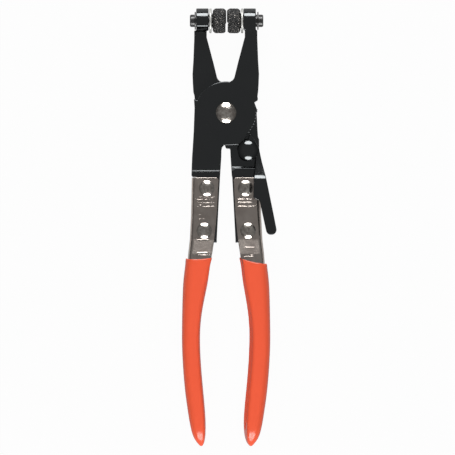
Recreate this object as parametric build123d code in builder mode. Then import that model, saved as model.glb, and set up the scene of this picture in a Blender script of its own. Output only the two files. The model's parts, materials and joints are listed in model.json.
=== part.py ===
from build123d import *
from math import asin, cos, degrees, radians, sin, tan
import os

# Swivel-jaw pliers for spring hose clamps, with a ratchet lock lever.
# They lie closed on their back: jaws towards +Y, the lever's side up, +X to the right.
# Two stamped plates cross at the main pivot. Each is one jaw arm, a hub and one handle arm.
# Places are measured from the main pivot and from the mid-plane between the two plates.

os.makedirs("parts", exist_ok=True)

LEFT = -1
RIGHT = 1
HANDS = ((LEFT, "left"), (RIGHT, "right"))

# Overall layout, from the main pivot
jaw_reach = 48.3
handle_reach = 175.1
handle_spread = 23.2
jaw_shift = 0.25
arm_shift = -0.2

# Stamped plates
plate_thickness = 3.2
plate_gap = 0.2
hub_radius = 16.4
jaw_arm_lift = 3.0
bend_radius = 3.0
corner_rounding = 1.2
front_joggle = 3.2
rear_joggle = 4.0
joggle_run = 1.7
joggle_outer_radius = 2.6
joggle_inner_radius = 1.9
roll_start = 20.0
roll_end = 212.0
tongue_reach = 68.2
tongue_play = 0.35
tongue_peek = 0.65
tongue_end_peek = 1.3
channel_start = 34.0
channel_play = 0.2

# Jaw pads, pins, washers and clips
pad_radius = 6.7
pad_length = 7.05
pad_gap = 0.4
pad_rounding = 1.9
pad_relief = 0.35
groove_depth = 1.1
groove_half_width = 0.75
groove_drop = 1.2
left_pad_turn = 12.0
right_pad_turn = 0.0
neck_radius = 3.9
neck_length = 0.35
spigot_radius = 2.4
spigot_length = 4.0
washer_radius = 6.5
washer_thickness = 1.1
washer_bevel = 0.25
thrust_play = 0.15
left_float = 0.6
left_washer_float = 0.3
eye_width = 6.5
pin_radius = 3.25
pin_stub = 2.5
pin_bevel = 0.5
running_fit = 0.05
clip_radius = 4.7
clip_band = 1.1
clip_thickness = 0.6
clip_play = 0.2
clip_groove_radius = 2.5
clip_prong_width = 1.5
clip_mouth = 4.6

# Main pivot rivet
pivot_head_radius = 5.35
pivot_head_height = 2.2
pivot_shank_radius = 3.5
head_play = 0.1
rivet_rim = 0.3

# Ratchet teeth on the front hub, as angles round the main pivot
tooth_count = 8
tooth_pitch = 6.0
tooth_start = -47.5
tooth_tip_radius = 16.25
tooth_root_radius = 15.45

# Ratchet lever, from the main pivot and from its own rivet
lever_across = 11.65
lever_along = -19.7
lever_length = 41.65
lever_lean = 12.0
lever_thickness = 2.6
lever_clearance = 0.3
lever_head_radius = 4.9
lever_end_radius = 2.75
thumb_turn = 12.0
lever_ramp_start = 4.5
lever_step_start = 13.8
lever_step_end = 15.5
lever_crease_radius = 1.6
lever_crown_radius = 5.0
pawl_across = 0.85
pawl_along = 8.8
lever_shank_radius = 2.6
lever_dome_radius = 5.4
lever_dome_height = 2.4
lever_back_radius = 4.4
lever_back_height = 1.6

# Return spring of the lever, a bent wire under the dome
wire_radius = 0.3
wire_bend = 1.0
spring_radius = 3.6
spring_play = 0.1
spring_turn = 25.0
spring_anchor = 1.4
lug_radius = 0.6
lug_turn = -32.0

# Handle channels of pressed sheet
sheet = 1.2
channel_bend = 2.6
channel_spread = 2.5
spread_length = 7.5
tongue_overhang = 1.7
channel_corner = 1.6
rib_height = 0.10
rib_half_width = 0.26
rib_root = 0.4
handle_head_radius = 4.05
handle_head_height = 1.6
handle_shank_radius = 2.3
upper_rivet_inset = 5.6
lower_rivet_inset = 6.3
upper_rivet_across = 10.15
lower_rivet_across = 11.45

# Dipped grips
grip_skin = 1.4
grip_lip = 0.9
grip_gap = 1.6
grip_dish = 1.0
left_grip_slant = 0.4
right_grip_slant = 3.5
grip_groove_height = 3.2
grip_groove_depth = 3.0
left_roll_step = 0.3
right_roll_step = 2.25

# Heights and places worked out from the sizes above
overrun = 5.0
mid_height = pad_radius
plate_mid = (plate_gap + plate_thickness) / 2
plate_face = plate_gap / 2 + plate_thickness
eye_bore = pin_radius + running_fit
eye_radius = eye_bore + plate_thickness
flange_height = plate_thickness / 2 + sheet
spread_height = flange_height + channel_spread
grip_height = spread_height + grip_skin
lever_bottom = lever_clearance - plate_gap / 2
lever_top = lever_bottom + lever_thickness
lever_raised = flange_height + handle_head_height + lever_clearance
spring_level = lever_top + spring_play + wire_radius
dome_level = spring_level + wire_radius + spring_play
lever_spread = lever_across + lever_lean + lever_end_radius
spread_start = tongue_reach - tongue_overhang
spread_end = spread_start + spread_length
grip_start = spread_end + grip_gap
upper_rivet_along = channel_start + upper_rivet_inset
lower_rivet_along = tongue_reach - lower_rivet_inset

# The origin lies under the middle of the box round the closed tool
pivot_x = (handle_spread - lever_spread) / 2
pivot_y = (handle_reach - jaw_reach - pad_radius) / 2

# Places along the swivel axis, from the line where the two pads meet
pad_face = pad_gap / 2
pad_back = pad_face + pad_length
neck_end = pad_back + neck_length
washer_end = neck_end + washer_thickness
clip_start = washer_end + thrust_play + left_float + eye_width + clip_play
clip_end = clip_start + clip_thickness
pin_end = clip_end + pin_stub

# Outlines: a jaw arm, across in hub radii and along in shares of the jaw's reach
throat_shares = [(0.122, 0.336), (0.220, 0.354), (0.281, 0.389)]
arm_inner_shares = [(0.389, 0.538), (0.610, 0.822)]
arm_outer_shares = [(1.009, 0.818), (1.037, 0.569), (1.065, 0.420), (1.055, 0.321), (1.038, 0.228)]
rear_root_shares = [(1.012, 0.177), (1.000, 0.020)]

# The front hub's shoulder, step and lower lobe, both ways in hub radii
rear_hub_share = 0.957
shoulder_shares = [(1.005, 0.524), (1.018, 0.445), (1.008, 0.384), (0.902, 0.341)]
step_shares = [(1.020, 0.384), (0.902, 0.341), (0.987, 0.100), (1.100, 0.100)]
lobe_shares = [(-0.17, -1.042), (0.120, -1.040), (0.385, -1.030), (0.460, -0.995), (0.550, -0.905)]

# A handle arm, across in hub radii and along in shares of the channel's start
front_outer_shares = [
    (1.030, 0.212), (1.010, 0.074), (1.036, -0.279), (1.063, -0.500), (1.088, -0.676), (1.100, -0.830),
]
front_inner_shares = [
    (0.191, -0.970), (0.175, -0.853), (0.152, -0.676), (0.149, -0.582), (0.128, -0.535), (0.079, -0.506),
]
rear_outer_shares = [
    (0.975, 0.050), (1.006, -0.260), (1.022, -0.372), (1.057, -0.412), (1.060, -0.550), (1.080, -0.840),
]
rear_inner_shares = [
    (0.180, -0.970), (0.166, -0.853), (0.142, -0.676), (0.134, -0.585), (0.128, -0.556),
    (0.030, -0.556), (-0.018, -0.541), (-0.034, -0.509),
]
shoulder_share = 1.112

# The lever's right side downwards and its left side upwards, in shares of its length
lever_right_shares = [
    (0.136, 0.024), (0.149, -0.043), (0.172, -0.151), (0.220, -0.331), (0.265, -0.547), (0.316, -0.799),
]
lever_waist_shares = [(0.160, -0.722), (0.140, -0.632)]
lever_left_shares = [(0.063, -0.603), (0.068, -0.355), (0.082, -0.259), (0.097, -0.115)]
pawl_right_shares = [(0.072, 0.148), (0.118, 0.060)]
pawl_left_shares = (-0.0075, 0.114)
lever_ramp_share = 0.72

# The bare channel: along from start to spread, outer and inner sides in shares of the spread
channel_shares = [(0.0, 0.776, 0.166), (0.6, 0.792, 0.211), (1.0, 0.821, 0.267)]
channel_end_shares = (0.857, 0.316)
channel_stop_share = 0.91
rib_shares = (0.089, 0.207, 0.370)

# A grip: along in shares from the spread to the tip, outer and inner sides in shares of the spread,
# half the thickness in shares of the grip's half height, and how far the back edge has turned in
grip_shares = [
    (0.010, 0.916, 0.303, 1.005, 0.35),
    (0.119, 0.958, 0.399, 1.005, 0.53),
    (0.237, 0.987, 0.500, 1.005, 0.70),
    (0.356, 0.997, 0.584, 1.005, 0.90),
    (0.475, 0.997, 0.601, 1.005, 1.00),
    (0.593, 0.973, 0.575, 1.005, 1.00),
    (0.712, 0.928, 0.530, 1.005, 1.00),
    (0.831, 0.856, 0.485, 1.000, 1.00),
    (0.910, 0.793, 0.472, 0.920, 0.90),
    (0.959, 0.720, 0.483, 0.590, 0.68),
    (0.987, 0.634, 0.511, 0.270, 0.35),
    (1.000, 0.582, 0.541, 0.090, 0.00),
]
outer_round_share = 0.50
inner_round_share = 0.26
height_round_share = 0.80
lip_middle_share = 0.40


def level(height):
    """Horizontal plane at a height from the mid-plane, with its origin over the pivot."""
    return Plane(origin=(pivot_x, pivot_y, mid_height + height))


def upright(across):
    """Plane square to X: its own x runs along +Y and its own y runs up."""
    return Plane(
        origin=(pivot_x + across, pivot_y, mid_height), x_dir=(0, 1, 0), z_dir=(1, 0, 0)
    )


def cross_section(along):
    """Plane square to Y, below the pivot: its own x runs along +X and its own y runs up."""
    return Plane(
        origin=(pivot_x, pivot_y - along, mid_height), x_dir=(1, 0, 0), z_dir=(0, -1, 0)
    )


def jaw_plane(side):
    """Plane through the swivel axis: its own x runs outwards from the middle and its y runs up."""
    return Plane(
        origin=(pivot_x + jaw_shift, pivot_y + jaw_reach, mid_height),
        x_dir=(side, 0, 0),
        z_dir=(0, -side, 0),
    )


def pad_plane(side, turn):
    """Plane across a pad's face: its x runs outwards and its y along the jaws, turned with the pad."""
    return Plane(
        origin=(pivot_x + jaw_shift, pivot_y + jaw_reach, mid_height),
        x_dir=(side, 0, 0),
        z_dir=(0, -side * sin(radians(turn)), side * cos(radians(turn))),
    )


def clip_plane(side):
    """Plane square to the swivel axis, facing outwards on one side."""
    return Plane(
        origin=(pivot_x + jaw_shift, pivot_y + jaw_reach, mid_height),
        x_dir=(0, side, 0),
        z_dir=(side, 0, 0),
    )


def upright_axis(across, along):
    """Vertical axis at a place measured from the main pivot."""
    return Axis((pivot_x + across, pivot_y + along, 0), (0, 0, 1))


swivel_axis = Axis((pivot_x, pivot_y + jaw_reach, mid_height), (1, 0, 0))


def on_circle(radius, angle):
    """Point on a circle round the origin of a sketch, the angle in degrees from its x."""
    return (radius * cos(radians(angle)), radius * sin(radians(angle)))


def between(start, end, share):
    """Value at a share of the way from start to end."""
    return start + (end - start) * share


def scaled(shares, across_size, along_size):
    """Points of a table of shares, in real sizes."""
    return [(across * across_size, along * along_size) for across, along in shares]


def mirrored(points, side):
    """Points drawn for the right side, moved to the wanted side."""
    return [(side * across, along) for across, along in points]


def eye_span(side):
    """Inner and outer end of a rolled eye, from the line where the pads meet.

    Both pins have the same end play. The left eye has slid out to its clip, the right eye in.
    """
    inner = washer_end + thrust_play + (left_float if side == LEFT else 0)
    return inner, inner + eye_width


def slid(points):
    """Points of a jaw arm, moved across by the arms' small offset from the main pivot."""
    return [(across + arm_shift, along) for across, along in points]


def roll_step(side):
    """How far the back edge of a grip stands further in than its front edge."""
    return left_roll_step if side == LEFT else right_roll_step


def bare_channel_rows():
    """Along, outer side, inner side and half height of the channel above the grip."""
    rows = [
        (
            between(channel_start, spread_start, along),
            outer * handle_spread,
            inner * handle_spread,
            flange_height,
        )
        for along, outer, inner in channel_shares
    ]
    outer, inner = channel_end_shares
    rows.append((spread_end, outer * handle_spread, inner * handle_spread, spread_height))
    return rows


def grip_along(share):
    """Distance below the pivot of a place on a grip, by its share of the way from spread to tip."""
    return between(spread_end, handle_reach, share)


def channel_sides_at(along):
    """Outer and inner side of the bare channel at a distance below the pivot."""
    rows = bare_channel_rows()
    for upper, lower in zip(rows, rows[1:]):
        if along <= lower[0]:
            share = (along - upper[0]) / (lower[0] - upper[0])
            return between(upper[1], lower[1], share), between(upper[2], lower[2], share)
    return rows[-1][1], rows[-1][2]


def arm_profile(facing):
    """Edge-on shape of a plate: its thickness along a bent centre line that ends in a rolled eye.

    facing is 1 for the front plate, whose jaw arm is lifted, and -1 for the rear plate.
    """
    roll_radius = eye_bore + plate_thickness / 2
    start_angle = radians(-roll_start)
    end_angle = radians(roll_end)
    middle_angle = (start_angle + end_angle) / 2

    def on_roll(angle):
        return (jaw_reach + roll_radius * sin(angle), facing * roll_radius * cos(angle))

    start = on_roll(start_angle)
    run_back = (abs(start[1]) - jaw_arm_lift) / tan(radians(roll_start))
    joggle_start = hub_radius + plate_thickness * 1.3
    joggle_end = joggle_start + plate_thickness * 2.4
    arm_joggle = (front_joggle if facing > 0 else rear_joggle) - channel_start
    with BuildSketch(upright(0)) as profile:
        with BuildLine():
            FilletPolyline(
                (-tongue_reach, 0),
                (arm_joggle, 0),
                (arm_joggle + joggle_run, facing * plate_mid),
                (joggle_start, facing * plate_mid),
                (joggle_end, facing * jaw_arm_lift),
                (start[0] - run_back, facing * jaw_arm_lift),
                start,
                radius=[
                    joggle_inner_radius, joggle_outer_radius, bend_radius, bend_radius, bend_radius,
                ],
            )
            ThreePointArc(start, on_roll(middle_angle), on_roll(end_angle))
        trace(line_width=plate_thickness)
    return profile.sketch


def jaw_arm_outline(side, root_points):
    """Outline of a jaw arm from the hub's middle to past the end of its eye."""
    inner, outer = eye_span(side)
    eye_start = jaw_reach - clip_radius - clip_play * 1.5
    eye_end = jaw_reach + eye_radius + overrun
    throat = slid(mirrored(scaled(throat_shares, hub_radius, jaw_reach), side))
    inner_edge = slid(mirrored(scaled(arm_inner_shares, hub_radius, jaw_reach), side))
    outer_edge = slid(mirrored(scaled(arm_outer_shares, hub_radius, jaw_reach), side))
    inner_corner = (inner_edge[-1][0], eye_start)
    outer_corner = (outer_edge[0][0], eye_start)
    eye = [
        (side * inner + jaw_shift, eye_start),
        (side * inner + jaw_shift, eye_end),
        (side * outer + jaw_shift, eye_end),
        (side * outer + jaw_shift, eye_start),
    ]
    with BuildSketch() as outline:
        with BuildLine():
            ThreePointArc(*throat)
            Polyline(
                throat[-1], *inner_edge, inner_corner, *eye, outer_corner, *outer_edge,
                *root_points, (0, 0), throat[0],
            )
        make_face()
    return outline.sketch


def handle_arm_outline(side, outer_shares, inner_shares):
    """Outline of a handle arm from the hub's middle to the end of its tongue."""
    arm_end = channel_start - channel_play
    outer_top = channel_sides_at(channel_start)[0] - channel_bend - tongue_play
    outer_end = channel_sides_at(spread_start)[0] - channel_bend - tongue_play
    inner_top = channel_sides_at(channel_start)[1] - tongue_peek
    inner_end = channel_sides_at(spread_start)[1] - tongue_end_peek
    points = [
        (0, 0),
        *scaled(outer_shares, hub_radius, channel_start),
        (shoulder_share * hub_radius, -arm_end),
        (outer_top, -arm_end),
        (outer_end - bend_radius, -tongue_reach),
        (inner_end, -tongue_reach),
        (inner_end, -spread_start),
        (inner_top, -channel_start),
        *scaled(inner_shares, hub_radius, channel_start),
    ]
    radii = [0] * len(points)
    shoulder = 1 + len(outer_shares)
    radii[shoulder] = corner_rounding
    radii[shoulder + 2] = corner_rounding
    radii[shoulder + 3] = tongue_play
    with BuildSketch() as outline:
        with BuildLine():
            FilletPolyline(*mirrored(points, side), radius=radii, close=True)
        make_face()
    return outline.sketch


def tooth_notches():
    """The saw-tooth notches between the ratchet teeth, open to the outside of the hub."""
    outside = hub_radius + overrun
    tooth_end = tooth_start + tooth_count * tooth_pitch
    points = []
    for tooth in range(tooth_count):
        low = tooth_start + tooth * tooth_pitch
        points.append(on_circle(tooth_tip_radius, low))
        points.append(on_circle(tooth_root_radius, low + tooth_pitch))
    points.append(on_circle(tooth_tip_radius, tooth_end))
    points.append(on_circle(outside, tooth_end))
    points.append(on_circle(outside, tooth_start))
    with BuildSketch() as notches:
        with BuildLine():
            Polyline(*points, close=True)
        make_face()
    return notches.sketch


def rivet_profile(across, along, shank, upper, lower):
    """Half section of a rivet. upper and lower are each (level of the head, its radius, its height)."""
    upper_level, upper_radius, upper_height = upper
    lower_level, lower_radius, lower_height = lower
    upper_cap = upper_height - rivet_rim
    lower_cap = lower_height - rivet_rim
    upper_sphere = (upper_radius**2 + upper_cap**2) / (2 * upper_cap)
    lower_sphere = (lower_radius**2 + lower_cap**2) / (2 * lower_cap)
    axis_plane = Plane(
        origin=(pivot_x + across, pivot_y + along, mid_height), x_dir=(1, 0, 0), z_dir=(0, -1, 0)
    )
    with BuildSketch(axis_plane) as profile:
        with BuildLine():
            upper_arc = JernArc(
                (0, upper_level + upper_height),
                (1, 0),
                upper_sphere,
                -degrees(asin(upper_radius / upper_sphere)),
            )
            lower_arc = JernArc(
                (0, lower_level - lower_height),
                (1, 0),
                lower_sphere,
                degrees(asin(lower_radius / lower_sphere)),
            )
            Polyline(
                upper_arc @ 1,
                (upper_radius, upper_level),
                (shank, upper_level),
                (shank, lower_level),
                (lower_radius, lower_level),
                lower_arc @ 1,
            )
            Line(upper_arc @ 0, lower_arc @ 0)
        make_face()
    return profile.sketch


# Front plate: right jaw arm, toothed hub, left handle arm
with BuildPart() as front_arm_plate:
    extrude(arm_profile(1), amount=handle_spread, both=True)
    with BuildSketch(level(0)):
        Circle(hub_radius)
        add(jaw_arm_outline(RIGHT, scaled(shoulder_shares, hub_radius, hub_radius)))
        add(handle_arm_outline(LEFT, front_outer_shares, front_inner_shares))
        with BuildLine():
            Polyline(*scaled(lobe_shares, hub_radius, hub_radius),
                     on_circle(tooth_tip_radius, tooth_start), (0, 0), close=True)
        make_face()
        with BuildLine():
            Polyline(*scaled(step_shares, hub_radius, hub_radius), close=True)
        make_face(mode=Mode.SUBTRACT)
        add(tooth_notches(), mode=Mode.SUBTRACT)
        Circle(pivot_shank_radius + running_fit, mode=Mode.SUBTRACT)
        for across, along in (
            (-upper_rivet_across, -upper_rivet_along), (-lower_rivet_across, -lower_rivet_along)
        ):
            with Locations((across, along)):
                Circle(handle_shank_radius, mode=Mode.SUBTRACT)
    extrude(amount=eye_radius + overrun, both=True, mode=Mode.INTERSECT)
front_arm_plate.part.label = "front_arm_plate"
export_step(front_arm_plate.part, "parts/front_arm_plate.step")

# Rear plate: left jaw arm, plain hub, right handle arm that carries the lever
with BuildPart() as rear_arm_plate:
    extrude(arm_profile(-1), amount=handle_spread, both=True)
    with BuildSketch(level(0)):
        Circle(rear_hub_share * hub_radius)
        add(jaw_arm_outline(LEFT, mirrored(scaled(rear_root_shares, hub_radius, jaw_reach), LEFT)))
        add(handle_arm_outline(RIGHT, rear_outer_shares, rear_inner_shares))
        Circle(pivot_shank_radius, mode=Mode.SUBTRACT)
        with Locations((lever_across, lever_along)):
            Circle(lever_shank_radius, mode=Mode.SUBTRACT)
        for across, along in (
            (upper_rivet_across, -upper_rivet_along), (lower_rivet_across, -lower_rivet_along)
        ):
            with Locations((across, along)):
                Circle(handle_shank_radius, mode=Mode.SUBTRACT)
    extrude(amount=eye_radius + overrun, both=True, mode=Mode.INTERSECT)
rear_arm_plate.part.label = "rear_arm_plate"
export_step(rear_arm_plate.part, "parts/rear_arm_plate.step")

# Main pivot rivet: tight in the rear plate, running in the front plate
with BuildPart() as pivot_rivet:
    pivot_profile = rivet_profile(
        0, 0, pivot_shank_radius,
        (plate_face + head_play, pivot_head_radius, pivot_head_height),
        (-plate_face, pivot_head_radius, pivot_head_height),
    )
    revolve(pivot_profile, axis=upright_axis(0, 0))
pivot_rivet.part.label = "pivot_rivet"
export_step(pivot_rivet.part, "parts/pivot_rivet.step")

# Ratchet lever: pawl, round head on its rivet, raised stem and thumb end
with BuildPart() as ratchet_lever:
    low_line = lever_bottom + lever_thickness / 2
    high_line = lever_raised + lever_thickness / 2
    step_line = between(low_line, high_line, lever_ramp_share)
    with BuildSketch(upright(0)):
        with BuildLine():
            FilletPolyline(
                (0, low_line),
                (lever_along - lever_ramp_start, low_line),
                (lever_along - lever_step_start, step_line),
                (lever_along - lever_step_end, high_line),
                (lever_along - lever_length - lever_end_radius - overrun, high_line),
                radius=[bend_radius, lever_crease_radius, lever_crown_radius],
            )
        trace(line_width=lever_thickness)
    extrude(amount=lever_spread + overrun)
    with BuildSketch(level(0)):
        with Locations((lever_across, lever_along)):
            Circle(lever_head_radius)
        thumb_x = lever_across + lever_lean
        thumb_y = lever_along - lever_length
        with Locations((thumb_x, thumb_y)):
            Circle(lever_end_radius)
        tip_across, tip_along = on_circle(lever_end_radius, thumb_turn)

        def from_rivet(shares):
            return [
                (lever_across + across * lever_length, lever_along + along * lever_length)
                for across, along in shares
            ]

        corner_points = [
            (lever_across + pawl_across, lever_along + pawl_along),
            *from_rivet(pawl_right_shares),
            *from_rivet(lever_right_shares),
            (thumb_x + tip_across, thumb_y + tip_along),
            (thumb_x - tip_across, thumb_y - tip_along),
            *from_rivet(lever_waist_shares),
            *from_rivet(lever_left_shares),
            *from_rivet([pawl_left_shares]),
        ]
        corner_radii = [0] * len(corner_points)
        waist = 3 + len(pawl_right_shares) + len(lever_right_shares)
        corner_radii[waist + 1] = corner_rounding
        corner_radii[waist + 2] = corner_rounding
        with BuildLine():
            FilletPolyline(*corner_points, radius=corner_radii, close=True)
        make_face()
        with Locations((lever_across, lever_along)):
            Circle(lever_shank_radius + running_fit, mode=Mode.SUBTRACT)
    extrude(amount=lever_raised + lever_thickness + overrun, both=True, mode=Mode.INTERSECT)
    # The lug that the free end of the spring pushes on
    lug_place = on_circle(spring_radius + wire_bend + wire_radius / 2, lug_turn)
    with BuildSketch(level(lever_top)):
        with Locations((lever_across + lug_place[0], lever_along + lug_place[1])):
            Circle(lug_radius)
    extrude(amount=2 * wire_radius + spring_play)
ratchet_lever.part.label = "ratchet_lever"
export_step(ratchet_lever.part, "parts/ratchet_lever.step")

# Lever rivet: tight in the rear plate, with a black dome over the lever's head
with BuildPart() as lever_rivet:
    lever_rivet_profile = rivet_profile(
        lever_across, lever_along, lever_shank_radius,
        (dome_level, lever_dome_radius, lever_dome_height),
        (-plate_face, lever_back_radius, lever_back_height),
    )
    revolve(lever_rivet_profile, axis=upright_axis(lever_across, lever_along))
    with BuildSketch(Plane(
        origin=(pivot_x + lever_across, pivot_y + lever_along, mid_height + spring_level),
        x_dir=(-sin(radians(spring_turn)), cos(radians(spring_turn)), 0),
        z_dir=(cos(radians(spring_turn)), sin(radians(spring_turn)), 0),
    )):
        with Locations((-wire_bend, 0)):
            Circle(wire_radius + running_fit)
    extrude(amount=lever_shank_radius + overrun, mode=Mode.SUBTRACT)
lever_rivet.part.label = "lever_rivet"
export_step(lever_rivet.part, "parts/lever_rivet.step")

# Return spring: one bent wire round the lever rivet, its inner end held in the rivet
with BuildPart() as lever_spring:
    spring_plane = level(spring_level) * Location((lever_across, lever_along, 0), (0, 0, spring_turn))
    with BuildLine(spring_plane) as wire_path:
        inner_leg = Line((spring_anchor, -wire_bend), (spring_radius - wire_bend, -wire_bend))
        turn_out = JernArc(inner_leg @ 1, inner_leg % 1, wire_bend, 90)
        coil = JernArc(turn_out @ 1, turn_out % 1, spring_radius, 270)
        turn_away = JernArc(coil @ 1, coil % 1, wire_bend - wire_radius, -90)
        Line(turn_away @ 1, turn_away @ 1 + (turn_away % 1) * 2 * wire_radius)
    with BuildSketch(Plane(origin=wire_path.line @ 0, z_dir=wire_path.line % 0)):
        Circle(wire_radius)
    sweep()
lever_spring.part.label = "lever_spring"
export_step(lever_spring.part, "parts/lever_spring.step")


def channel_rows(side):
    """Every section of a channel: along, outer, front inner, back inner and half height."""
    rows = [(along, outer, inner, inner, height) for along, outer, inner, height in bare_channel_rows()]
    for along, outer, inner, height, turned in grip_shares[1:]:
        if along <= channel_stop_share:
            front = inner * handle_spread + grip_lip
            rows.append((
                grip_along(along),
                outer * handle_spread - grip_skin,
                front,
                front - turned * roll_step(side),
                min(height * grip_height - grip_skin, spread_height),
            ))
    return rows


def channel_section(side, along, outer, front, back, height):
    """A U of sheet that opens towards the middle of the tool."""
    inside = height - sheet
    points = [
        (front, height), (outer, height), (outer, -height), (back, -height),
        (back, -inside), (outer - sheet, -inside), (outer - sheet, inside), (front, inside),
    ]
    bend_inside = channel_bend - sheet
    with BuildSketch(cross_section(along)) as section:
        with BuildLine():
            FilletPolyline(
                *mirrored(points, side),
                radius=[0, channel_bend, channel_bend, 0, 0, bend_inside, bend_inside, 0],
                close=True,
            )
        make_face()
    return section.sketch


def grip_section(side, along, outer, front, back, height):
    """The outside of a grip: well rounded on the outer side, less so on the inner side."""
    points = [(front, height), (outer, height), (outer, -height), (back, -height)]
    outer_round = min(outer_round_share * (outer - front), height_round_share * height)
    inner_round = min(inner_round_share * (outer - front), height_round_share * height)
    with BuildSketch(cross_section(along)) as section:
        with BuildLine():
            FilletPolyline(
                *mirrored(points, side),
                radius=[inner_round, outer_round, outer_round, inner_round],
                close=True,
            )
        make_face()
    return section.sketch


for side, hand in HANDS:
    # Handle channel, with pressed ribs and holes for its two rivets
    with BuildPart() as handle_channel:
        loft([channel_section(side, *row) for row in channel_rows(side)], ruled=True)
        outer_top, inner_top = channel_sides_at(channel_start)
        with BuildSketch(level(0)):
            corner = (side * inner_top, -channel_start)
            with BuildLine():
                Polyline(
                    corner,
                    (side * (inner_top + channel_corner), -channel_start),
                    (side * inner_top, -channel_start - channel_corner),
                    close=True,
                )
            make_face()
            with Locations((
                side * (inner_top + channel_corner), -channel_start - channel_corner
            )):
                Circle(channel_corner, mode=Mode.SUBTRACT)
            for across, along in (
                (upper_rivet_across, upper_rivet_along), (lower_rivet_across, lower_rivet_along)
            ):
                with Locations((side * across, -along)):
                    Circle(handle_shank_radius)
        extrude(amount=flange_height + overrun, both=True, mode=Mode.SUBTRACT)
        first_rib = upper_rivet_along + handle_head_radius + rib_half_width
        last_rib = lower_rivet_along - handle_head_radius - rib_half_width
        for rib_share in rib_shares:
            along = between(first_rib, last_rib, rib_share)
            outer, inner = channel_sides_at(along)
            rib_start = inner + channel_corner
            rib_end = outer - channel_bend
            for facing in (1, -1):
                face = facing * flange_height
                with BuildSketch(upright(side * rib_start)):
                    with BuildLine():
                        ThreePointArc(
                            (-along - rib_half_width, face),
                            (-along, face + facing * rib_height),
                            (-along + rib_half_width, face),
                        )
                        Polyline(
                            (-along + rib_half_width, face),
                            (-along + rib_half_width, face - facing * rib_root),
                            (-along - rib_half_width, face - facing * rib_root),
                            (-along - rib_half_width, face),
                        )
                    make_face()
                extrude(amount=side * (rib_end - rib_start))
    handle_channel.part.label = hand + "_handle_channel"
    export_step(handle_channel.part, "parts/" + hand + "_handle_channel.step")

    # Dipped grip: a full skin round the channel, with a groove along its inner side
    with BuildPart() as grip:
        loft([
            grip_section(
                side,
                grip_along(along),
                outer * handle_spread,
                inner * handle_spread,
                inner * handle_spread - turned * roll_step(side),
                height * grip_height,
            )
            for along, outer, inner, height, turned in grip_shares
        ])
        with BuildSketch(level(0)):
            Rectangle(4 * handle_reach, 4 * handle_reach)
        extrude(amount=grip_height, both=True, mode=Mode.INTERSECT)
        slant = left_grip_slant if side == LEFT else right_grip_slant
        with BuildSketch(level(0)):
            lip_inner = grip_shares[0][2] * handle_spread - grip_shares[0][4] * roll_step(side)
            lip_outside = side * (handle_spread + overrun)
            groove_outside = side * (lip_inner - overrun)
            inner_corner = (side * lip_inner, -grip_start)
            outer_corner = (side * handle_spread, -grip_start - slant)
            middle = (
                side * between(lip_inner, handle_spread, lip_middle_share),
                -grip_start - slant * lip_middle_share - grip_dish,
            )
            with BuildLine():
                ThreePointArc(inner_corner, middle, outer_corner)
                Polyline(
                    outer_corner,
                    (lip_outside, -grip_start - slant),
                    (lip_outside, -spread_start),
                    (groove_outside, -spread_start),
                    (groove_outside, -grip_start),
                    inner_corner,
                )
            make_face()
        extrude(amount=grip_height + overrun, both=True, mode=Mode.SUBTRACT)
        add(handle_channel.part, mode=Mode.SUBTRACT)
        groove_rows = [row for row in grip_shares[1:] if row[0] <= channel_stop_share]
        groove_floor = [
            (side * (row[2] * handle_spread + grip_groove_depth), -grip_along(row[0]))
            for row in groove_rows
        ]
        with BuildSketch(level(0)):
            with BuildLine():
                Spline(*groove_floor)
                Polyline(
                    groove_floor[-1],
                    (groove_outside, groove_floor[-1][1]),
                    (groove_outside, groove_floor[0][1]),
                    groove_floor[0],
                )
            make_face()
        extrude(amount=grip_groove_height / 2, both=True, mode=Mode.SUBTRACT)
    grip.part.label = hand + "_grip"
    export_step(grip.part, "parts/" + hand + "_grip.step")

    # The two rivets that clamp the channel on the plate's tongue
    with BuildPart() as handle_rivets:
        for across, along in (
            (upper_rivet_across, upper_rivet_along), (lower_rivet_across, lower_rivet_along)
        ):
            handle_rivet_profile = rivet_profile(
                side * across, -along, handle_shank_radius,
                (flange_height, handle_head_radius, handle_head_height),
                (-flange_height, handle_head_radius, handle_head_height),
            )
            revolve(handle_rivet_profile, axis=upright_axis(side * across, -along))
    handle_rivets.part.label = hand + "_handle_rivets"
    export_step(handle_rivets.part, "parts/" + hand + "_handle_rivets.step")

    # Jaw pad: a knurled button with a relieved lower half and a cross groove in its face
    with BuildPart() as jaw_pad:
        with BuildSketch(jaw_plane(side)):
            with BuildLine():
                FilletPolyline(
                    (pad_face, 0),
                    (pad_face, pad_radius),
                    (pad_back, pad_radius),
                    (pad_back, neck_radius),
                    (neck_end, neck_radius),
                    (neck_end, spigot_radius),
                    (neck_end - spigot_length, spigot_radius),
                    (neck_end - spigot_length, 0),
                    radius=[0, pad_rounding, pad_rounding, 0, 0, 0, 0, 0],
                    close=True,
                )
            make_face()
        revolve(axis=swivel_axis)
        turn = left_pad_turn if side == LEFT else right_pad_turn
        with BuildSketch(pad_plane(side, turn)):
            with BuildLine():
                Polyline(
                    (0, -groove_drop + groove_half_width),
                    (pad_face, -groove_drop + groove_half_width),
                    (pad_face + groove_depth, -groove_drop),
                    (pad_face + pad_relief, -groove_drop - groove_half_width),
                    (pad_face + pad_relief, -pad_radius - overrun),
                    (0, -pad_radius - overrun),
                    close=True,
                )
            make_face()
        extrude(amount=pad_radius + overrun, both=True, mode=Mode.SUBTRACT)
    jaw_pad.part.label = hand + "_jaw_pad"
    export_step(jaw_pad.part, "parts/" + hand + "_jaw_pad.step")

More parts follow.
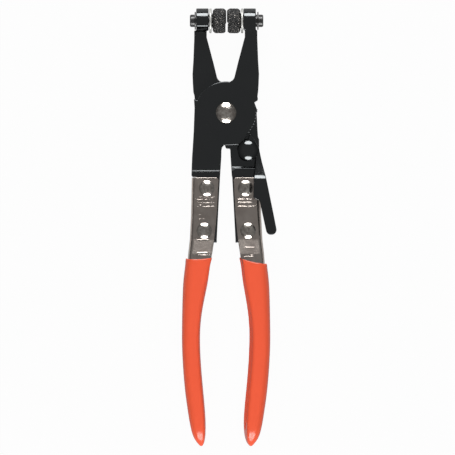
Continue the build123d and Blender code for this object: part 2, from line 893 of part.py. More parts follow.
    # Jaw pin: a spigot in the pad, a shank through the eye and a groove for the clip
    with BuildPart() as jaw_pin:
        with BuildSketch(jaw_plane(side)):
            with BuildLine():
                Polyline(
                    (neck_end - spigot_length, 0),
                    (neck_end - spigot_length, spigot_radius),
                    (neck_end, spigot_radius),
                    (neck_end, pin_radius),
                    (clip_start - running_fit, pin_radius),
                    (clip_start - running_fit, clip_groove_radius),
                    (clip_end + running_fit, clip_groove_radius),
                    (clip_end + running_fit, pin_radius),
                    (pin_end - pin_bevel, pin_radius),
                    (pin_end, pin_radius - pin_bevel),
                    (pin_end, 0),
                    close=True,
                )
            make_face()
        revolve(axis=swivel_axis)
    jaw_pin.part.label = hand + "_jaw_pin"
    export_step(jaw_pin.part, "parts/" + hand + "_jaw_pin.step")

    # Thrust washer between the pad's neck and the eye
    washer_start = neck_end + (left_washer_float if side == LEFT else 0)
    washer_stop = washer_start + washer_thickness
    with BuildPart() as jaw_washer:
        with BuildSketch(jaw_plane(side)):
            with BuildLine():
                Polyline(
                    (washer_start, pin_radius + thrust_play),
                    (washer_start, washer_radius - washer_bevel),
                    (washer_start + washer_bevel, washer_radius),
                    (washer_stop - washer_bevel, washer_radius),
                    (washer_stop, washer_radius - washer_bevel),
                    (washer_stop, pin_radius + thrust_play),
                    close=True,
                )
            make_face()
        revolve(axis=swivel_axis)
    jaw_washer.part.label = hand + "_jaw_washer"
    export_step(jaw_washer.part, "parts/" + hand + "_jaw_washer.step")

    # Retaining clip: an open ring with three prongs in the pin's groove
    with BuildPart() as retaining_clip:
        with BuildSketch(clip_plane(side).offset(clip_start)):
            Circle(clip_radius)
            Circle(clip_radius - clip_band, mode=Mode.SUBTRACT)
            with PolarLocations((clip_groove_radius + clip_radius) / 2, 3, start_angle=90):
                Rectangle(clip_radius - clip_groove_radius - clip_band / 2, clip_prong_width)
            Circle(clip_groove_radius + running_fit, mode=Mode.SUBTRACT)
            with Locations((0, -clip_radius)):
                Rectangle(clip_mouth, 2 * (clip_radius - clip_groove_radius), mode=Mode.SUBTRACT)
        extrude(amount=clip_thickness)
    retaining_clip.part.label = hand + "_retaining_clip"
    export_step(retaining_clip.part, "parts/" + hand + "_retaining_clip.step")
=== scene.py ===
import json
from math import atan2, copysign, cos, exp, floor, pi, radians, sin

import bmesh
import bpy
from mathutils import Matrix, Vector, noise


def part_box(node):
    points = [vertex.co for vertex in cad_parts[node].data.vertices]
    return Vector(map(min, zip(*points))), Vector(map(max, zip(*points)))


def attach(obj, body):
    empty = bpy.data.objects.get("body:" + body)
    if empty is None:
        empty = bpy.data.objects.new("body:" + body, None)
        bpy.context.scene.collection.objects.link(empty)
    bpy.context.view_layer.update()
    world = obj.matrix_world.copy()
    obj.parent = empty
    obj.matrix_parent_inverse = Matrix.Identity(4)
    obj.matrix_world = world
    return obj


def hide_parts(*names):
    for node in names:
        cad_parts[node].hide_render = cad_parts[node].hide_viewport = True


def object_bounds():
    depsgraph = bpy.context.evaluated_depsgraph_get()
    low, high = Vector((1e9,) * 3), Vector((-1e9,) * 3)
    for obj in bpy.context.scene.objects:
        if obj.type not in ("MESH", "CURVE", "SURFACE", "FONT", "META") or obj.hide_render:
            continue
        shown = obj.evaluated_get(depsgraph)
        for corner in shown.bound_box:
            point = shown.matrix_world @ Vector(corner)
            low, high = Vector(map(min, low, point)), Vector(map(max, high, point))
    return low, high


# Looks of the swivel-jaw pliers: rounded stamped edges, knurled pads, finishes, studio and camera.
# Lengths are in metres, in the frame of the CAD model: jaws towards +Y, the lever's side up.

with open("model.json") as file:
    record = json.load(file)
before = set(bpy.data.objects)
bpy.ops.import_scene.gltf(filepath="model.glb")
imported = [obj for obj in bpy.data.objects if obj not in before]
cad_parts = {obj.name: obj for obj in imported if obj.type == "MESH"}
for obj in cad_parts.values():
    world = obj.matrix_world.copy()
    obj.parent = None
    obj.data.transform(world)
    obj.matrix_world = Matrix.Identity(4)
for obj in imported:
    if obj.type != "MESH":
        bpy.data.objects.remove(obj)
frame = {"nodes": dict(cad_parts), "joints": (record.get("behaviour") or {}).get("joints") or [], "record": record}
cad_low, cad_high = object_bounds()
nodes = frame["nodes"]
MM = 0.001

body_of_node = {
    node: body
    for body, members in frame["record"]["behaviour"]["bodies"].items()
    for node in members
}
slot_of_node = {part["node"]: part["material_slot"] for part in frame["record"]["subparts"]}
SIDES = ("left", "right")


def held(value, low=0, high=1):
    """The value, held between two limits."""
    return min(max(value, low), high)


# Materials

class Finish:
    """A node material. add() makes a node, and takes sockets or plain values for its inputs."""

    def __init__(self, name):
        self.material = bpy.data.materials.new(name)
        self.material.use_nodes = True
        self.tree = self.material.node_tree
        self.shader = self.tree.nodes["Principled BSDF"]
        self.place = self.add("TexCoord").outputs["Object"]

    def add(self, kind, inputs=None, **settings):
        made = self.tree.nodes.new("ShaderNode" + kind)
        for name, value in settings.items():
            setattr(made, name, value)
        for name, value in (inputs or {}).items():
            self.put(made.inputs[name], value)
        return made

    def put(self, socket, value):
        if isinstance(value, bpy.types.NodeSocket):
            self.tree.links.new(value, socket)
        else:
            socket.default_value = value

    def set(self, **values):
        """Sets the shader's sockets, by their names in lower case with _ for a space."""
        for socket in self.shader.inputs:
            key = socket.name.lower().replace(" ", "_")
            if key in values:
                self.put(socket, values[key])
        return self

    def stretched(self, x, y, z):
        """The place with each axis stretched, for marks that run along one of them."""
        scale = (1 / x, 1 / y, 1 / z)
        return self.add("Mapping", {"Vector": self.place, "Scale": scale}).outputs["Vector"]

    def grain(self, size, detail=2.0, roughness=0.5, place=None):
        """Noise from 0 to 1 with features of that size."""
        return self.add(
            "TexNoise",
            {"Vector": place or self.place, "Scale": 1 / size, "Detail": detail, "Roughness": roughness},
        ).outputs["Fac"]

    def ramp(self, value, low, high, start=0.0, stop=1.0):
        """Maps value from low..high to start..stop, and holds it there outside."""
        return self.add(
            "MapRange",
            {"Value": value, "From Min": low, "From Max": high, "To Min": start, "To Max": stop},
        ).outputs["Result"]

    def blend(self, factor, first, second):
        """A colour between two colours."""
        made = self.add("Mix", data_type="RGBA")
        for socket, value in zip((made.inputs[0], made.inputs[6], made.inputs[7]), (factor, first, second)):
            self.put(socket, value)
        return made.outputs[2]

    def sum(self, first, second, operation="ADD"):
        made = self.add("Math", operation=operation)
        self.put(made.inputs[0], first)
        self.put(made.inputs[1], second)
        return made.outputs["Value"]

    def worn_edges(self, radius, low, high):
        """1 along sharp outer and inner edges, 0 on flat and gently curved faces."""
        rounded = self.add("Bevel", {"Radius": radius}, samples=6).outputs["Normal"]
        straight = self.add("NewGeometry").outputs["Normal"]
        turned = self.add("VectorMath", {0: rounded, 1: straight}, operation="DOT_PRODUCT")
        return self.ramp(turned.outputs["Value"], high, low)

    def bump(self, *layers):
        """Stacks bumps of (height, distance, strength)."""
        normal = None
        for height, distance, strength in layers:
            inputs = {"Height": height, "Distance": distance, "Strength": strength}
            if normal:
                inputs["Normal"] = normal
            normal = self.add("Bump", inputs).outputs["Normal"]
        return self.set(normal=normal)


def grey(value, warm=0.0):
    return (value * (1 + warm), value, value * (1 - warm), 1)


def black_coating(name, base, gloss, satin):
    """Stoved black coating on stamped steel: a faint orange peel, dust and rubbed edges."""
    finish = Finish(name)
    cloudy = finish.grain(9 * MM, detail=4)
    specks = finish.ramp(finish.grain(0.5 * MM, detail=1), 0.70, 0.78)
    edges = finish.sum(
        finish.worn_edges(0.25 * MM, 0.80, 0.97),
        finish.ramp(finish.grain(2.5 * MM, detail=5), 0.42, 0.62),
        "MULTIPLY",
    )
    body = finish.blend(cloudy, grey(base * 0.8, -0.10), grey(base * 1.25, -0.05))
    dusty = finish.blend(finish.sum(specks, 0.25, "MULTIPLY"), body, grey(0.05))
    colour = finish.blend(finish.sum(edges, 0.30, "MULTIPLY"), dusty, grey(0.10))
    scuffs = finish.grain(1.4 * MM, detail=6, place=finish.stretched(1, 3, 1))
    finish.set(
        base_color=colour,
        roughness=finish.ramp(scuffs, 0.35, 0.70, gloss, satin),
        ior=1.83,
        specular_tint=(0.95, 1.0, 1.02, 1),
    )
    finish.bump(
        (finish.grain(1.1 * MM, detail=2), 0.012 * MM, 1.0),
        (finish.grain(0.22 * MM, detail=3), 0.004 * MM, 1.0),
    )
    return finish.material


def bright_nickel():
    """Polished nickel rivet heads, with the soft flats that riveting leaves."""
    finish = Finish("nickel")
    stains = finish.grain(1.8 * MM, detail=5, roughness=0.6)
    colour = finish.blend(finish.ramp(stains, 0.35, 0.65), (0.80, 0.76, 0.70, 1), (0.44, 0.39, 0.35, 1))
    finish.set(
        base_color=colour,
        metallic=1.0,
        roughness=finish.ramp(finish.grain(1.0 * MM, detail=6), 0.3, 0.7, 0.10, 0.26),
    )
    finish.bump(
        (finish.grain(2.4 * MM, detail=1), 0.14 * MM, 1.0),
        (finish.grain(0.9 * MM, detail=3), 0.03 * MM, 1.0),
    )
    return finish.material


def plated_sheet():
    """Nickel-plated channel sheet, rolled lengthwise, with a warm tarnish and small rub marks."""
    finish = Finish("plated_sheet")
    streaks = finish.grain(0.25 * MM, detail=3, place=finish.stretched(1, 14, 1))
    clouds = finish.grain(7 * MM, detail=5, roughness=0.6)
    colour = finish.blend(finish.ramp(clouds, 0.3, 0.7), (0.74, 0.66, 0.60, 1), (0.56, 0.485, 0.44, 1))
    rubbed = finish.sum(
        finish.worn_edges(0.3 * MM, 0.82, 0.98),
        finish.ramp(finish.grain(1.5 * MM, detail=5), 0.40, 0.60),
        "MULTIPLY",
    )
    finish.set(
        base_color=finish.blend(rubbed, colour, (0.82, 0.77, 0.72, 1)),
        metallic=1.0,
        roughness=finish.ramp(streaks, 0.3, 0.7, 0.15, 0.24),
    )
    finish.bump(
        (finish.grain(1.8 * MM, detail=3), 0.006 * MM, 1.0),
        (streaks, 0.003 * MM, 1.0),
    )
    return finish.material


def dipped_vinyl():
    """Orange vinyl, dipped: an even colour, a soft shine and the faint waves of the dip."""
    finish = Finish("vinyl")
    mottle = finish.grain(3 * MM, detail=4)
    finish.set(
        base_color=finish.blend(mottle, (0.91, 0.114, 0.048, 1), (0.94, 0.122, 0.052, 1)),
        roughness=finish.ramp(finish.grain(1.2 * MM, detail=4), 0.3, 0.7, 0.17, 0.23),
        ior=1.45,
    )
    finish.bump(
        (finish.grain(14 * MM, detail=1), 0.06 * MM, 1.0),
        (finish.grain(0.5 * MM, detail=2), 0.002 * MM, 1.0),
    )
    return finish.material


def phosphated_knurl():
    """Black phosphated steel on the knurled pads: bare metal glints on the rubbed points."""
    finish = Finish("knurl")
    crumbs = finish.grain(0.5 * MM, detail=5, roughness=0.7)
    glints = finish.ramp(finish.grain(0.8 * MM, detail=3), 0.58, 0.70)
    coated = finish.blend(crumbs, grey(0.004, -0.04), grey(0.017, -0.04))
    finish.set(
        base_color=finish.blend(glints, coated, grey(0.40, 0.08)),
        metallic=glints,
        roughness=finish.ramp(crumbs, 0.3, 0.7, 0.26, 0.46),
        ior=1.55,
    )
    finish.bump((crumbs, 0.05 * MM, 1.0))
    return finish.material


def blackened_pin():
    """Turned steel, blackened, with fine rings round the swivel axis."""
    finish = Finish("pin")
    rings = finish.grain(0.2 * MM, detail=2, place=finish.stretched(1, 30, 30))
    finish.set(
        base_color=finish.blend(rings, grey(0.03), grey(0.11)),
        metallic=0.7,
        roughness=finish.ramp(finish.grain(0.8 * MM, detail=4), 0.3, 0.7, 0.22, 0.38),
    )
    finish.bump((rings, 0.01 * MM, 1.0))
    return finish.material


def zinc_plate():
    """Bright zinc on the thrust washers, tumbled to an even silvery white."""
    finish = Finish("zinc")
    blotches = finish.grain(1.5 * MM, detail=5)
    finish.set(
        base_color=finish.blend(blotches, (0.72, 0.72, 0.69, 1), (0.58, 0.58, 0.55, 1)),
        metallic=0.5,
        roughness=finish.ramp(blotches, 0.3, 0.7, 0.38, 0.50),
    )
    finish.bump((finish.grain(0.3 * MM, detail=3), 0.006 * MM, 1.0))
    return finish.material


def drawn_wire():
    """Drawn spring wire, faintly oiled."""
    finish = Finish("wire")
    draws = finish.grain(0.15 * MM, detail=2)
    finish.set(
        base_color=finish.blend(draws, grey(0.36), grey(0.46)),
        metallic=1.0,
        roughness=finish.ramp(draws, 0.3, 0.7, 0.22, 0.34),
    )
    finish.bump((draws, 0.004 * MM, 1.0))
    return finish.material


looks = {
    "black_steel": black_coating("black_plate", base=0.0045, gloss=0.07, satin=0.16),
    "black_lever": black_coating("black_lever", base=0.0040, gloss=0.07, satin=0.14),
    "nickel_steel": bright_nickel(),
    "plated_channel": plated_sheet(),
    "orange_vinyl": dipped_vinyl(),
    "spring_wire": drawn_wire(),
    "black_knurl": phosphated_knurl(),
    "black_pin": blackened_pin(),
    "bright_washer": zinc_plate(),
}


# Shapes

def dress(piece, node):
    """The piece stands for the CAD node: same body, slot and finish."""
    slot = slot_of_node[node]
    piece.data.materials.clear()
    piece.data.materials.append(looks[slot])
    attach(piece, body_of_node[node])
    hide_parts(node)


WELD_DISTANCE = 0.0005 * MM
FLAT_WITHIN = radians(0.4)
EDGE_FROM = radians(35)
EDGE_SEGMENTS = 3
ROUNDED_SHARP_FROM = radians(32)
WORKED_SHARP_FROM = radians(50)
KNURL_SHARP_FROM = radians(40)


def welded_copy(node, name):
    """A new piece from the node's shape, with its split corners welded and its flat faces whole."""
    mesh = nodes[node].data.copy()
    mesh.name = name
    shape = bmesh.new()
    shape.from_mesh(mesh)
    bmesh.ops.remove_doubles(shape, verts=shape.verts, dist=WELD_DISTANCE)
    bmesh.ops.dissolve_limit(shape, angle_limit=FLAT_WITHIN, verts=shape.verts, edges=shape.edges)
    shape.to_mesh(mesh)
    shape.free()
    piece = bpy.data.objects.new(name, mesh)
    bpy.context.scene.collection.objects.link(piece)
    return piece


def apply_modifiers(piece):
    """Makes the modified shape the piece's own mesh."""
    graph = bpy.context.evaluated_depsgraph_get()
    mesh = bpy.data.meshes.new_from_object(piece.evaluated_get(graph))
    piece.modifiers.clear()
    piece.data = mesh


def shade(piece, sharp_from):
    """Smooth shading, with creases only at edges that turn more than that."""
    piece.data.shade_smooth()
    piece.data.set_sharp_from_angle(angle=sharp_from)


def round_edges(piece, width):
    """Rounds the piece's sharp edges, that far in from each."""
    bevel = piece.modifiers.new("edges", "BEVEL")
    bevel.width = width
    bevel.segments = EDGE_SEGMENTS
    bevel.limit_method = "ANGLE"
    bevel.angle_limit = EDGE_FROM
    bevel.use_clamp_overlap = False
    apply_modifiers(piece)
    shade(piece, ROUNDED_SHARP_FROM)


def rounded_piece(node, width):
    """The node's shape with its edges rounded, as blanking and tumbling leave them."""
    piece = welded_copy(node, node + "_dressed")
    round_edges(piece, width)
    dress(piece, node)


def voxel_skin(piece, voxel, passes=0):
    """Makes the piece one even skin, and smooths it in that many passes."""
    remesh = piece.modifiers.new("skin", "REMESH")
    remesh.mode = "VOXEL"
    remesh.voxel_size = voxel
    remesh.use_smooth_shade = True
    if passes:
        smoothing = piece.modifiers.new("smoothing", "SMOOTH")
        smoothing.factor = 0.5
        smoothing.iterations = passes
    apply_modifiers(piece)


KNURL_PITCH = 1.05 * MM
KNURL_DEPTH = 0.45 * MM
KNURL_VOXEL = 0.12 * MM
KNURL_INNER_SHARE = 0.72
KNURL_LEAN_FROM = 0.30
KNURL_LEAN_SPAN = 0.45
KNURL_CUT_SHARE = 0.85
KNURL_GRIT_SHARE = 0.3
KNURL_GRIT = 0.6 * MM


def knurl_height(across, along, pitch):
    """Pyramids between two sets of crossed grooves: 0 in a groove and 1 on a point."""
    heights = []
    for lead in (across + along, across - along):
        share = lead / pitch
        share -= floor(share)
        heights.append(1 - abs(2 * share - 1))
    return min(heights)


def knurled_pad(side, joint):
    """The jaw pad with its knurled rim, cut into the CAD shape so that the points keep its radius."""
    node = side + "_jaw_pad"
    piece = welded_copy(node, node + "_knurled")
    voxel_skin(piece, KNURL_VOXEL)
    pivot = Vector(joint["pos_m"])
    low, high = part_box(node)
    radius = (high.z - low.z) / 2
    count = round(2 * pi * radius / (KNURL_PITCH * 2 ** 0.5))
    pitch = 2 * pi * radius / count
    skin = [(vertex.co.copy(), vertex.normal.copy()) for vertex in piece.data.vertices]
    for vertex, (place, normal) in zip(piece.data.vertices, skin):
        out = Vector((0, place.y - pivot.y, place.z - pivot.z))
        if out.length < radius * KNURL_INNER_SHARE:
            continue
        lean = out.normalized().dot(normal)
        share = held((lean - KNURL_LEAN_FROM) / KNURL_LEAN_SPAN)
        across = atan2(out.z, out.y) * radius
        grit = 0.5 + 0.5 * noise.noise(place / KNURL_GRIT)
        cut = 1 - knurl_height(across, place.x - pivot.x, pitch)
        depth = KNURL_CUT_SHARE * cut + KNURL_GRIT_SHARE * grit
        vertex.co = place - normal * (KNURL_DEPTH * share * depth)
    shade(piece, KNURL_SHARP_FROM)
    dress(piece, node)


GRIP_VOXEL = 0.42 * MM
GRIP_SMOOTHING = 6
CREST_SHARE = 0.8
GROOVE_HALF = 1.6 * MM
LIP_RISE = 2.2 * MM
TIP_ROUND = 10 * MM
TIP_FADE = 4 * MM
MOUTH_COVER = {"left": 14 * MM, "right": 1 * MM}
COVER_REACH = 3 * MM


def inner_edge(corners, low_row):
    """The side nearest to the other grip, by row of 1 mm, as a function of y."""
    rows = {}
    for place in corners:
        row = floor((place.y - low_row) / MM)
        rows[row] = min(rows.get(row, 1), abs(place.x))

    def at(y):
        share = (y - low_row) / MM - 0.5
        row = floor(share)
        first = rows.get(row, rows.get(row + 1, 0))
        second = rows.get(row + 1, first)
        return first + (second - first) * (share - row)

    return at


def dipped_grip(side):
    """The grip as a soft dipped skin. Its inner side is upright above the groove and slopes below
    it, and near the mouth the front edge reaches further over the groove."""
    node = side + "_grip"
    piece = welded_copy(node, node + "_dipped")
    voxel_skin(piece, GRIP_VOXEL, GRIP_SMOOTHING)
    low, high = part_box(node)
    middle = (low.z + high.z) / 2
    corners = [vertex.co.copy() for vertex in piece.data.vertices]
    crest_from = middle + (high.z - middle) * CREST_SHARE
    front_at = inner_edge([corner for corner in corners if corner.z > crest_from], low.y)
    back_at = inner_edge(corners, low.y)
    for vertex in piece.data.vertices:
        front, back = front_at(vertex.co.y), back_at(vertex.co.y)
        share = held((middle - GROOVE_HALF - vertex.co.z) / LIP_RISE)
        inset = front + (back - front) * share - abs(vertex.co.x)
        fade = held((vertex.co.y - low.y - TIP_ROUND) / TIP_FADE)
        vertex.co.x += copysign(max(inset, 0) * fade, vertex.co.x)
        if vertex.co.z > middle - GROOVE_HALF:
            near_mouth = held(1 - (high.y - vertex.co.y) / MOUTH_COVER[side])
            near_side = held(1 - (abs(vertex.co.x) - front) / COVER_REACH)
            cover = (front - back) * near_mouth ** 0.5 * near_side
            vertex.co.x -= copysign(cover, vertex.co.x)
    dress(piece, node)


# Marks of the press on the channels' front faces, in mm: place along below the pivot, from and to
# across, and height

PRESS_MARKS = {
    "left": [
        (35.0, 14.6, 15.4, 0.13), (37.2, 13.8, 15.2, 0.16), (44.3, 12.4, 14.8, 0.16),
        (44.5, 5.9, 12.9, 0.14), (47.3, 5.4, 13.2, 0.15), (48.4, 12.2, 14.6, 0.16),
        (49.1, 5.9, 12.8, 0.14), (53.5, 12.6, 14.9, 0.16), (55.6, 10.9, 15.1, 0.16),
        (57.7, 13.7, 15.0, 0.16), (64.0, 6.0, 8.0, 0.15), (66.4, 6.0, 8.6, 0.10),
        (66.6, 9.2, 15.2, 0.10), (73.4, 9.6, 15.4, 0.08), (74.5, 6.2, 15.2, 0.16),
    ],
    "right": [
        (45.4, 5.4, 14.2, 0.15), (47.0, 5.4, 14.2, 0.15), (49.1, 5.8, 14.2, 0.14),
        (66.0, 13.9, 15.0, 0.12), (66.1, 6.8, 7.6, 0.12), (66.2, 6.9, 14.9, 0.09),
        (68.3, 14.2, 15.3, 0.04), (70.6, 9.4, 14.9, 0.05), (74.5, 12.1, 14.9, 0.16),
        (75.3, 8.6, 14.9, 0.16),
    ],
}
MARK_WIDTH = 0.15 * MM
MARK_SHARE = 0.6
MARK_REACH = 0.6 * MM
MARK_END = 0.5 * MM
MARK_WOBBLE = 0.10 * MM
WOBBLE_SIZE = 2.5 * MM
MARK_WEAR = 0.2
WEAR_SIZE = 1.5 * MM
WAVE_HEIGHT = 0.03 * MM
WAVE_SIZE = 4 * MM
FINE_STEP = 0.07 * MM
COARSE_STEP = 0.5 * MM
CHANNEL_EDGE = 0.22 * MM
FLAT_TO = 52 * MM
UNDER_GRIP = 4 * MM
TOP_BAND = 3 * MM
FACE_BAND = 0.05 * MM
FACES_FRONT = 0.9


def cut_rows(shape, faces, axis, places):
    """Cuts the faces along planes square to the axis, from low to high, and returns all of them."""
    ready = []
    normal = Vector([index == axis for index in range(3)])
    for place in places:
        edges = {edge for face in faces for edge in face.edges}
        corners = {corner for face in faces for corner in face.verts}
        cut = bmesh.ops.bisect_plane(
            shape, geom=[*faces, *edges, *corners], plane_co=normal * place, plane_no=normal, dist=1e-8
        )
        made = [item for item in cut["geom"] if isinstance(item, bmesh.types.BMFace)]
        faces = []
        for face in made:
            (faces if face.calc_center_median()[axis] > place else ready).append(face)
    return ready + faces


def mark_height(place, pivot, marks):
    """How far the press marks and the soft waves of the sheet raise a place of the face."""
    across = abs(place.x - pivot.x)
    along = pivot.y - place.y
    height = WAVE_HEIGHT * noise.noise(place / WAVE_SIZE)
    for level, start, end, crest in marks:
        wobble = MARK_WOBBLE * noise.noise(Vector((across / WOBBLE_SIZE, level, 0)))
        offset = along - level * MM - wobble
        if abs(offset) < MARK_REACH:
            inside = min(across - start * MM, end * MM - across) / MARK_END
            worn = 1 + MARK_WEAR * noise.noise(Vector((across / WEAR_SIZE, level, 5)))
            crest *= MARK_SHARE * worn * held(inside)
            height += crest * MM * exp(-((offset / MARK_WIDTH) ** 2))
    return height


def worked_channel(side, pivot):
    """The handle channel with rounded edges and the irregular press marks on its front."""
    node = side + "_handle_channel"
    marks = PRESS_MARKS[side]
    piece = welded_copy(node, node + "_worked")
    low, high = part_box(node)
    face_level = max(v.co.z for v in piece.data.vertices if v.co.y > high.y - TOP_BAND)
    # The press marks stand for the solids' upper ribs, so those are made flat here
    for vertex in piece.data.vertices:
        if vertex.co.y > pivot.y - FLAT_TO:
            vertex.co.z = min(vertex.co.z, face_level)
    round_edges(piece, CHANNEL_EDGE)
    shape = bmesh.new()
    shape.from_mesh(piece.data)
    front = [
        face for face in shape.faces
        if face.normal.z > FACES_FRONT and min(v.co.z for v in face.verts) > face_level - FACE_BAND
    ]
    rows = [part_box(side + "_grip")[1].y - UNDER_GRIP]
    while rows[-1] < high.y:
        near = any(abs(pivot.y - rows[-1] - mark[0] * MM) < MARK_REACH for mark in marks)
        rows.append(rows[-1] + (FINE_STEP if near else COARSE_STEP))
    front = cut_rows(shape, front, 1, rows)
    count = int((high.x - low.x) / COARSE_STEP)
    columns = [low.x + (0.5 + column) * COARSE_STEP for column in range(count)]
    front = cut_rows(shape, front, 0, columns)
    for corner in {v for face in front if face.is_valid for v in face.verts}:
        corner.co.z += mark_height(corner.co, pivot, marks)
    shape.to_mesh(piece.data)
    shape.free()
    shade(piece, WORKED_SHARP_FROM)
    dress(piece, node)


# Pressed steps of the arms: places are along below the pivot

STEP_ROW = 0.12 * MM
ROW_MARGIN = STEP_ROW / 9
ON_ROW = STEP_ROW / 20
STEP_FROM = 26.0 * MM
STEP_TO = 32.6 * MM
STEP_BLEND = 4
STEP_SOFTNESS = 0.3 * MM
SAG_FROM = 27.2 * MM
SAG_SLOPE = 0.32
DROP_FROM = 30.5 * MM
DROP_SLOPE = 3.0
RISE_FROM = 27.0 * MM
RISE_SLOPE = 0.45
STEEP_DELAY = 1.4 * MM
STEEP_SLOPE = 2.2
SOFT_SIDE = 5.6 * MM
ARM_EDGE = 0.45 * MM
HUB_RADIUS = 8 * MM


def lower_of(first, second, softness):
    """The lower of two heights, rounded where they cross."""
    return (first + second - ((first - second) ** 2 + softness ** 2) ** 0.5) / 2


def front_step(across, along, level, foot):
    """The front arm's upper face sags softly and then drops from a sharp line."""
    reach = DROP_FROM - SAG_FROM
    sag = held(along - SAG_FROM, 0, reach)
    past = along - DROP_FROM
    soft = level - SAG_SLOPE * (sag ** 2 / (2 * reach) + max(past, 0))
    drop = level - SAG_SLOPE * reach / 2 - DROP_SLOPE * past
    return -lower_of(-foot, -lower_of(soft, drop, STEP_SOFTNESS), STEP_SOFTNESS / 2)


def rear_step(across, along, level, foot):
    """The rear arm's upper face rises softly on its inner side, and steeply under the lever."""
    steepness = held((across - SOFT_SIDE) / MM)
    slope = RISE_SLOPE + (STEEP_SLOPE - RISE_SLOPE) * steepness
    rise = level + slope * (along - RISE_FROM - STEEP_DELAY * steepness)
    return lower_of(foot, -lower_of(-level, -rise, STEP_SOFTNESS), STEP_SOFTNESS)


def plate_thickness(node, pivot):
    """The plate's thickness, from the level of its two faces round the pivot's bore."""
    levels = [v.co.z for v in nodes[node].data.vertices if (v.co - pivot).xy.length < HUB_RADIUS]
    return max(levels) - min(levels)


def stepped_arm(node, profile, pivot):
    """An arm plate with rounded edges, whose upper face has the sharp line of a pressed step. The
    plate's upper part moves, and its underside stays."""
    piece = welded_copy(node, node + "_dressed")
    round_edges(piece, ARM_EDGE)
    shape = bmesh.new()
    shape.from_mesh(piece.data)
    count = round((STEP_TO - STEP_FROM) / STEP_ROW)
    rows = [pivot.y - STEP_TO + row * STEP_ROW for row in range(count + 1)]
    zone = [
        face for face in shape.faces
        if max(v.co.y for v in face.verts) > rows[0] and min(v.co.y for v in face.verts) < rows[-1]
    ]
    cut_rows(shape, zone, 1, rows)
    tops = [-1.0] * (count + 1)
    inside = [v for v in shape.verts if rows[0] - ROW_MARGIN < v.co.y < rows[-1] + ROW_MARGIN]
    for corner in inside:
        row = round((corner.co.y - rows[0]) / STEP_ROW)
        if abs(corner.co.y - rows[row]) < ON_ROW:
            tops[row] = max(tops[row], corner.co.z)
    half = plate_thickness(node, pivot) / 2
    for corner in inside:
        share = held((corner.co.y - rows[0]) / STEP_ROW, 0, count)
        row = min(floor(share), count - 1)
        top = tops[row] + (tops[row + 1] - tops[row]) * (share - row)
        weight = held(1 - (top - corner.co.z) / half)
        target = profile(corner.co.x - pivot.x, pivot.y - corner.co.y, tops[-1], tops[0])
        blend = min(share, count - share, STEP_BLEND) / STEP_BLEND
        corner.co.z += (target - top) * min(weight * 2, 1) * blend
    shape.to_mesh(piece.data)
    shape.free()
    shade(piece, WORKED_SHARP_FROM)
    dress(piece, node)


# Pieces

CLIP_EDGE = 0.12 * MM
WASHER_EDGE = 0.15 * MM
LEVER_EDGE = 0.40 * MM
joints = {joint["name"]: joint for joint in frame["joints"]}
main_pivot = Vector(joints["main_pivot"]["pos_m"])
for side in SIDES:
    knurled_pad(side, joints[side + "_jaw_swivel"])
    dipped_grip(side)
    worked_channel(side, main_pivot)
    rounded_piece(side + "_retaining_clip", CLIP_EDGE)
    rounded_piece(side + "_jaw_washer", WASHER_EDGE)
stepped_arm("front_arm_plate", front_step, main_pivot)
stepped_arm("rear_arm_plate", rear_step, main_pivot)
rounded_piece("ratchet_lever", LEVER_EDGE)
for node, shape in nodes.items():
    if not shape.hide_render:
        shape.data.materials.clear()
        shape.data.materials.append(looks[slot_of_node[node]])


# Studio: a pale floor, a soft box past each end of the tool and the camera straight above

VIEW_WIDTH = 238.9 * MM
VIEW_CENTRE = Vector((-0.87 * MM, -0.17 * MM, 6.7 * MM))
CAMERA_HEIGHT = 2.4
SENSOR = 36.0
SKY_LOW = 0.05
SKY_HIGH = 0.75
FLOOR_GREY = 0.45
WHITE_TO_CAMERA = 0.97
WHITE_IN_MIRRORS = 0.16


def studio_camera():
    camera = bpy.data.objects.new("camera", bpy.data.cameras.new("camera"))
    bpy.context.scene.collection.objects.link(camera)
    camera.location = VIEW_CENTRE + Vector((0, 0, CAMERA_HEIGHT))
    camera.data.sensor_width = SENSOR
    camera.data.lens = SENSOR * CAMERA_HEIGHT / VIEW_WIDTH
    bpy.context.scene.camera = camera


def soft_box(name, bearing, elevation, distance, width, height, radiance):
    """An oval lamp that faces the object, of that brightness."""
    lamp = bpy.data.lights.new(name, "AREA")
    lamp.shape = "ELLIPSE"
    lamp.size = width
    lamp.size_y = height
    lamp.energy = radiance * width * height * pi / 4 * pi
    away = Vector((
        cos(radians(elevation)) * sin(radians(bearing)),
        cos(radians(elevation)) * cos(radians(bearing)),
        sin(radians(elevation)),
    ))
    holder = bpy.data.objects.new(name, lamp)
    holder.location = away * distance
    holder.rotation_mode = "QUATERNION"
    holder.rotation_quaternion = away.to_track_quat("Z", "Y")
    bpy.context.scene.collection.objects.link(holder)


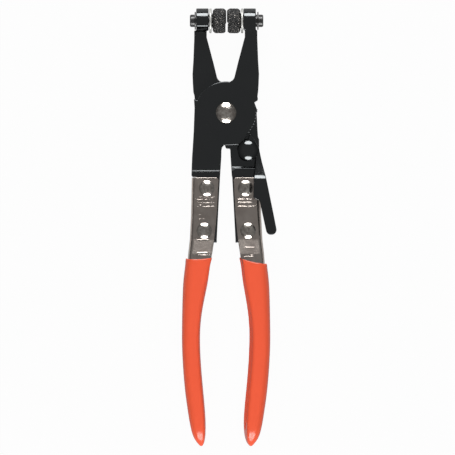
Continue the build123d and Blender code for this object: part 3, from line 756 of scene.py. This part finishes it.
def world_light(overhead, horizon):
    """A dim room: grey above, darker towards the horizon."""
    world = bpy.data.worlds.new("studio")
    world.use_nodes = True
    tree = world.node_tree
    sky = tree.nodes["Background"]
    direction = tree.nodes.new("ShaderNodeTexCoord")
    parts = tree.nodes.new("ShaderNodeSeparateXYZ")
    gradient = tree.nodes.new("ShaderNodeMapRange")
    limits = {"From Min": SKY_LOW, "From Max": SKY_HIGH, "To Min": horizon, "To Max": overhead}
    for socket, value in limits.items():
        gradient.inputs[socket].default_value = value
    tree.links.new(direction.outputs["Generated"], parts.inputs["Vector"])
    tree.links.new(parts.outputs["Z"], gradient.inputs["Value"])
    tree.links.new(gradient.outputs["Result"], sky.inputs["Strength"])
    sky.inputs["Color"].default_value = (1, 1, 1, 1)
    bpy.context.scene.world = world


def pale_floor(size):
    """A grey floor, almost white to the camera and a little paler in mirrors, with a faint shadow."""
    mesh = bpy.data.meshes.new("floor")
    shape = bmesh.new()
    bmesh.ops.create_grid(shape, x_segments=2, y_segments=2, size=size / 2)
    shape.to_mesh(mesh)
    shape.free()
    floor_sheet = bpy.data.objects.new("floor", mesh)
    floor_sheet.location.z = cad_low.z
    bpy.context.scene.collection.objects.link(floor_sheet)
    finish = Finish("paper")
    finish.set(base_color=grey(FLOOR_GREY), roughness=0.9, specular_ior_level=0.0)
    seen = finish.add("LightPath")
    mirrored = finish.sum(seen.outputs["Is Glossy Ray"], seen.outputs["Is Transmission Ray"], "MAXIMUM")
    direct = finish.sum(seen.outputs["Is Camera Ray"], WHITE_TO_CAMERA, "MULTIPLY")
    pale = finish.sum(mirrored, WHITE_IN_MIRRORS, "MULTIPLY")
    whiteness = finish.sum(direct, pale, "MAXIMUM")
    glow = finish.add("Emission", {"Color": (1, 1, 1, 1), "Strength": 1.0})
    mixed = finish.add("MixShader", {"Fac": whiteness})
    finish.tree.links.new(finish.shader.outputs["BSDF"], mixed.inputs[1])
    finish.tree.links.new(glow.outputs["Emission"], mixed.inputs[2])
    output = finish.tree.nodes["Material Output"]
    finish.tree.links.new(mixed.outputs["Shader"], output.inputs["Surface"])
    mesh.materials.append(finish.material)


studio_camera()
for name, bearing in (("soft_box_jaws", 0), ("soft_box_grips", 180)):
    soft_box(name, bearing, elevation=29, distance=1.2, width=1.0, height=0.60, radiance=8.8)
world_light(overhead=0.20, horizon=0.04)
pale_floor(6.0)
bpy.context.scene.view_settings.view_transform = "Standard"
